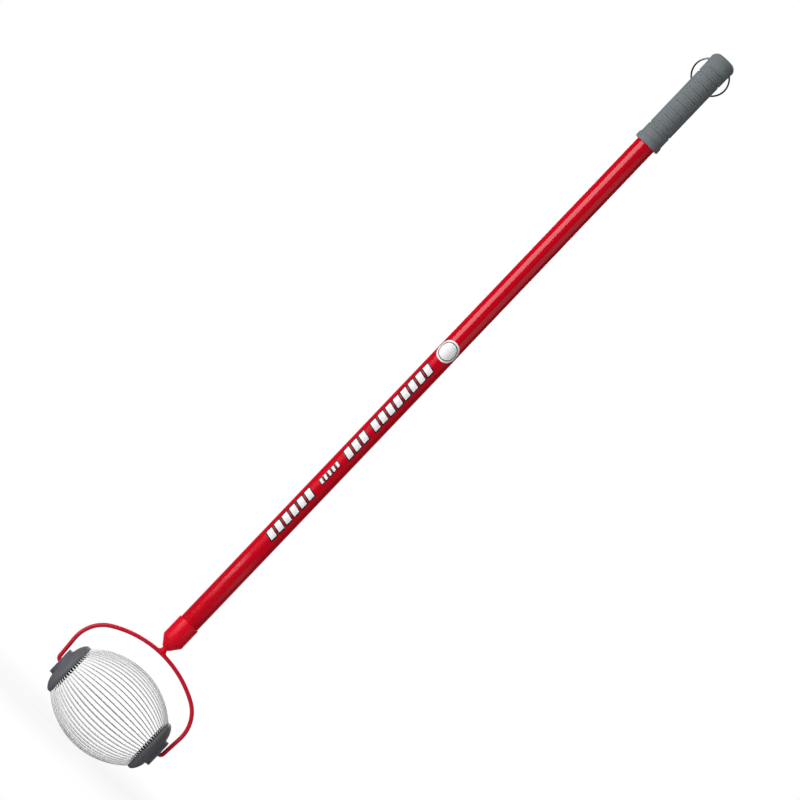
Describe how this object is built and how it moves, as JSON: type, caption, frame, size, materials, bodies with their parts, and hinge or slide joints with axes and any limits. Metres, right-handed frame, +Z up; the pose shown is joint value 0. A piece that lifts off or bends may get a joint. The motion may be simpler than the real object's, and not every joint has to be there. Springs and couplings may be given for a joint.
{
  "type": "rolling nut gatherer",
  "caption": "Long-handled rolling nut gatherer: a barrel basket of bowed spring wires turning between domed end caps on a wire bail, with a ribbed grip and a hanging ring.",
  "frame": {"origin": "on the ground under the handle, where the basket stands", "axes": "+Z up the handle from the basket to the grip, +X along the axle of the basket"},
  "size_m": [0.2066, 0.1398, 1.3],
  "materials": {
    "handle_paint": "gloss",
    "socket_paint": "gloss",
    "grip_rubber": "matte",
    "ring_steel": "bright",
    "cap_plastic": "satin",
    "comb_plastic": "satin",
    "plate_zinc": "zinc plated",
    "rivet_zinc": "bright zinc",
    "wire_zinc": "bright zinc"
  },
  "bodies": {
    "handle": {"handle_tube": "handle_paint", "grip": "grip_rubber", "socket": "socket_paint", "bail": "handle_paint"},
    "basket": {"left_cap": "cap_plastic", "right_cap": "cap_plastic", "left_comb": "comb_plastic", "right_comb": "comb_plastic", "left_plate": "plate_zinc", "right_plate": "plate_zinc", "left_rivets": "rivet_zinc", "right_rivets": "rivet_zinc", "wires_1": "wire_zinc", "wires_2": "wire_zinc", "wires_3": "wire_zinc", "wires_4": "wire_zinc", "wires_5": "wire_zinc", "wires_6": "wire_zinc", "wires_7": "wire_zinc", "wires_8": "wire_zinc", "wires_9": "wire_zinc", "wires_10": "wire_zinc"},
    "hang_ring": {"hang_ring": "ring_steel"}
  },
  "joints": [
    {"name": "basket_spin", "type": "hinge", "parent": "handle", "child": "basket", "pos_m": [0, 0, 0.0699], "axis": [1, 0, 0], "continuous": true},
    {"name": "hang_ring_swing", "type": "hinge", "parent": "handle", "child": "hang_ring", "pos_m": [0, 0, 1.2864], "axis": [1, 0, 0], "range_deg": [0, 311]}
  ]
}
